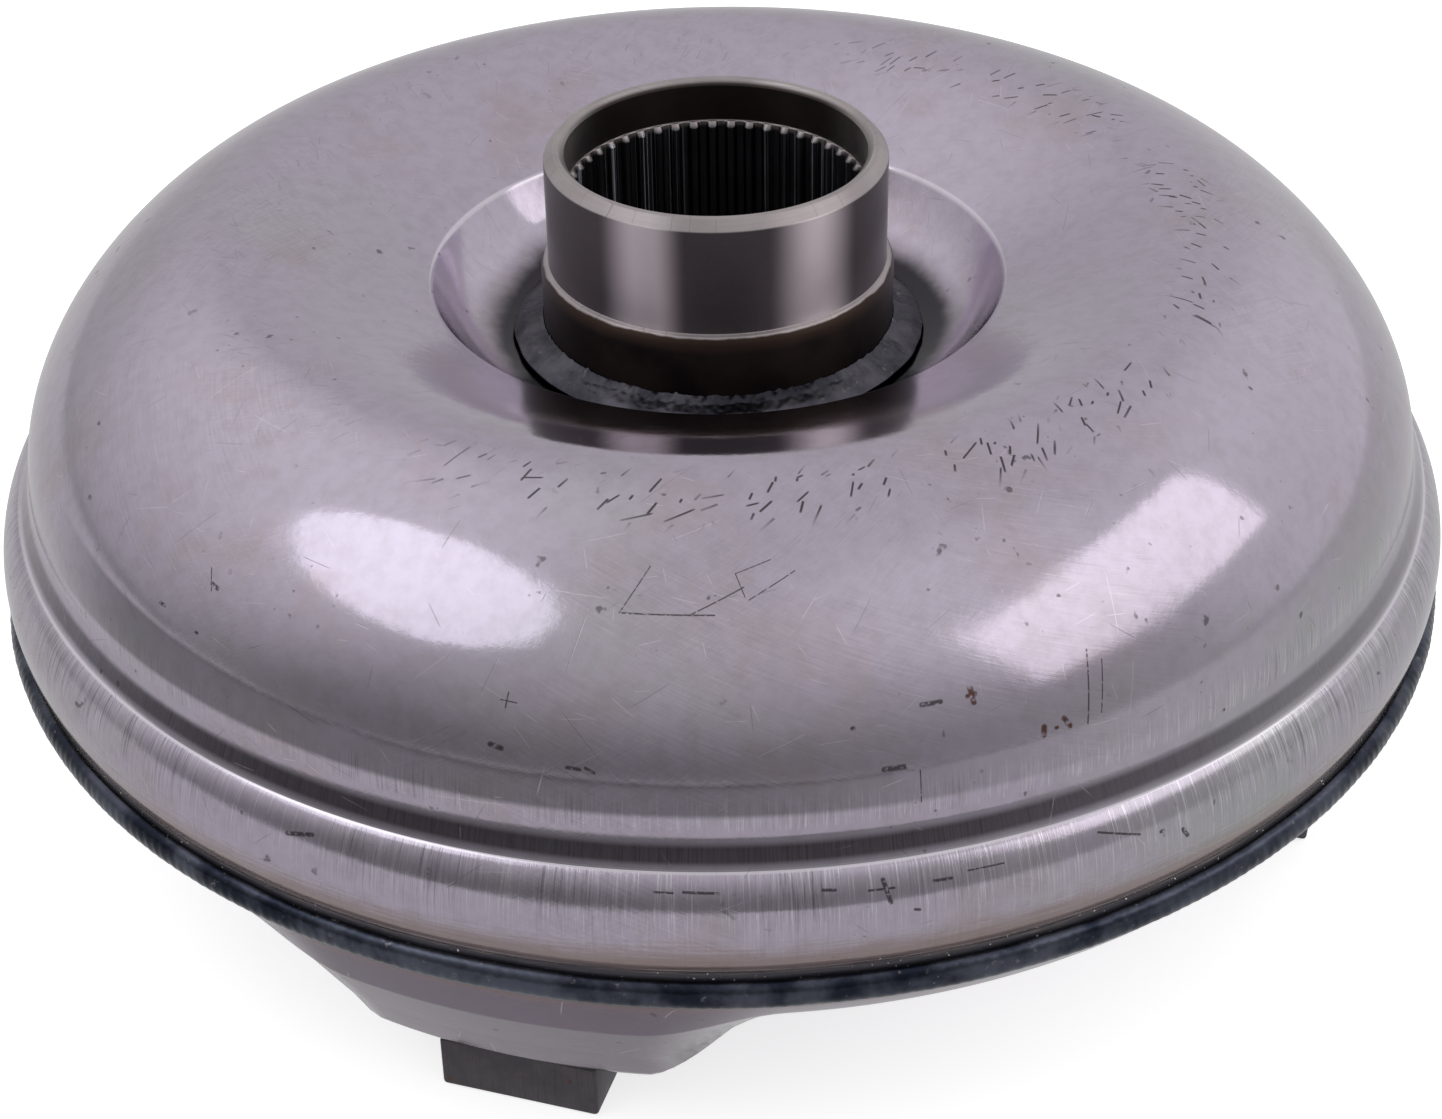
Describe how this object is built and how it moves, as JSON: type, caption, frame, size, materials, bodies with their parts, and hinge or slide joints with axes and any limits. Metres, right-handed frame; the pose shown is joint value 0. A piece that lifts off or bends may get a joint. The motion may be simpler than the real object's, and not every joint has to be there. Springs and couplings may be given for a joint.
{
  "type": "torque converter",
  "caption": "Welded steel torque converter with a splined pump hub on top, threaded drive lugs and a pilot boss below, and a free-turning turbine and stator inside.",
  "frame": {"origin": "on the axis of rotation, in the plane of the drive lugs' faces", "axes": "+Z along the axis of rotation towards the pump hub; the drive lugs lie on +X, +Y, -X and -Y"},
  "size_m": [0.33, 0.33, 0.149],
  "materials": {
    "shell_steel": "pressed steel, satin, lightly scratched",
    "machined_steel": "turned and ground steel",
    "weld_steel": "heat-blackened weld bead",
    "lug_steel": "milled steel, darkened",
    "blade_steel": "pressed sheet steel, brazed",
    "inner_steel": "pressed sheet steel",
    "bearing_steel": "hardened and ground",
    "bush_bronze": "bronze, machined",
    "cast_aluminium": "as cast, bore machined"
  },
  "bodies": {
    "housing": {"front_cover": "shell_steel", "pilot_boss": "machined_steel", "pilot_weld": "weld_steel", "cover_thrust_washer": "bush_bronze", "drive_lug_1": "lug_steel", "drive_lug_2": "lug_steel", "drive_lug_3": "lug_steel", "drive_lug_4": "lug_steel", "pump_shell": "shell_steel", "seam_weld": "weld_steel", "impeller_blades": "blade_steel", "pump_hub": "machined_steel", "hub_weld": "weld_steel", "pump_thrust_bearing": "bearing_steel"},
    "turbine": {"turbine_shell": "inner_steel", "turbine_blades": "blade_steel", "turbine_hub": "machined_steel", "turbine_rivet_1": "bearing_steel", "turbine_rivet_2": "bearing_steel", "turbine_rivet_3": "bearing_steel", "turbine_rivet_4": "bearing_steel", "turbine_rivet_5": "bearing_steel", "turbine_rivet_6": "bearing_steel", "turbine_rivet_7": "bearing_steel", "turbine_rivet_8": "bearing_steel", "turbine_thrust_bearing": "bearing_steel"},
    "stator_support": {"freewheel_inner_race": "bearing_steel"},
    "stator": {"freewheel_outer_race": "bearing_steel", "freewheel_roller_1": "bearing_steel", "freewheel_roller_2": "bearing_steel", "freewheel_roller_3": "bearing_steel", "freewheel_roller_4": "bearing_steel", "freewheel_roller_5": "bearing_steel", "freewheel_roller_6": "bearing_steel", "freewheel_roller_7": "bearing_steel", "freewheel_roller_8": "bearing_steel", "freewheel_front_plate": "bush_bronze", "freewheel_rear_plate": "bush_bronze", "stator_snap_ring": "bearing_steel", "stator_wheel": "cast_aluminium"}
  },
  "joints": [
    {"name": "turbine_spin", "type": "hinge", "parent": "housing", "child": "turbine", "pos_m": [0, 0, 0.06], "axis": [0, 0, 1], "continuous": true},
    {"name": "stator_support_spin", "type": "hinge", "parent": "housing", "child": "stator_support", "pos_m": [0, 0, 0.0813], "axis": [0, 0, 1], "continuous": true},
    {"name": "stator_freewheel", "type": "hinge", "parent": "stator_support", "child": "stator", "pos_m": [0, 0, 0.0813], "axis": [0, 0, 1], "continuous": true}
  ]
}
